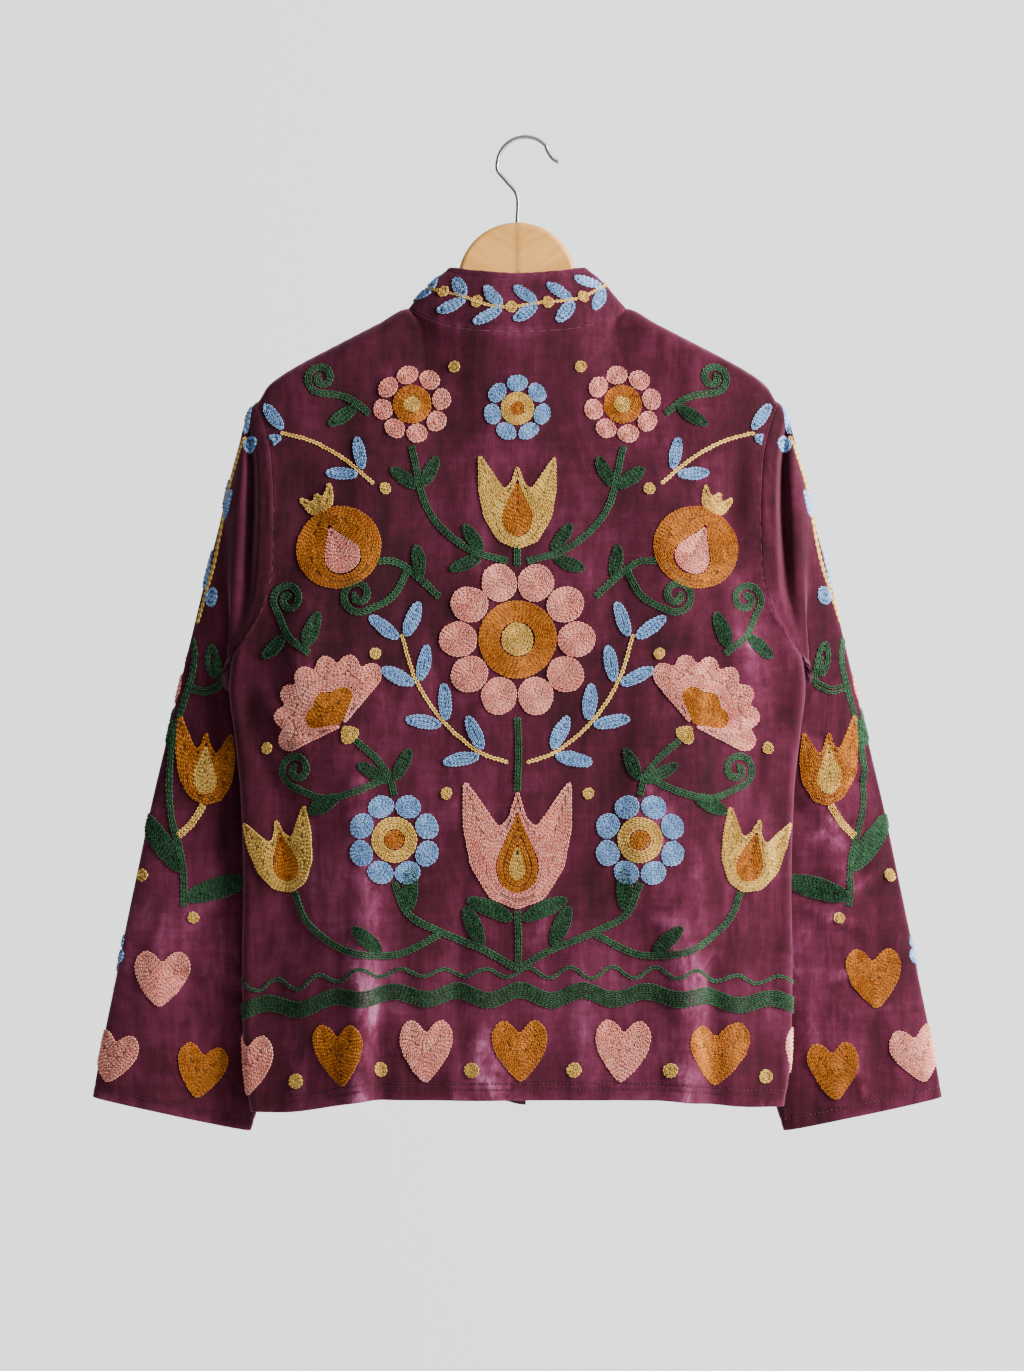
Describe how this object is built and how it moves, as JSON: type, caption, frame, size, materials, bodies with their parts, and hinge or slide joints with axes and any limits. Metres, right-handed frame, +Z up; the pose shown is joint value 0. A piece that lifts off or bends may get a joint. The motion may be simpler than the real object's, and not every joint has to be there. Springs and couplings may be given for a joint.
{
  "type": "embroidered suzani jacket on hanger",
  "caption": "Short velvet jacket with a stand collar, long sleeves and an open front, embroidered in chain stitch, hanging on a flat wooden hanger with a wire hook.",
  "frame": {"origin": "the inside of the hook's crown, where it hangs on a nail or a rail", "axes": "+Z up, -Y the side that the jacket's back faces, +X to the right as seen from behind the jacket, which is the wearer's right"},
  "size_m": [0.727, 0.0768, 0.8514],
  "materials": {
    "velvet": "plum cotton velvet with chain-stitch embroidery in wool-like thread",
    "wood": "pale wood under clear satin lacquer",
    "wire": "bright plated wire"
  },
  "bodies": {
    "root": {"back_panel": "velvet", "front_left": "velvet", "front_right": "velvet", "sleeve_left": "velvet", "sleeve_right": "velvet", "collar": "velvet", "hanger_body": "wood", "hanger_hook": "wire"}
  },
  "joints": []
}
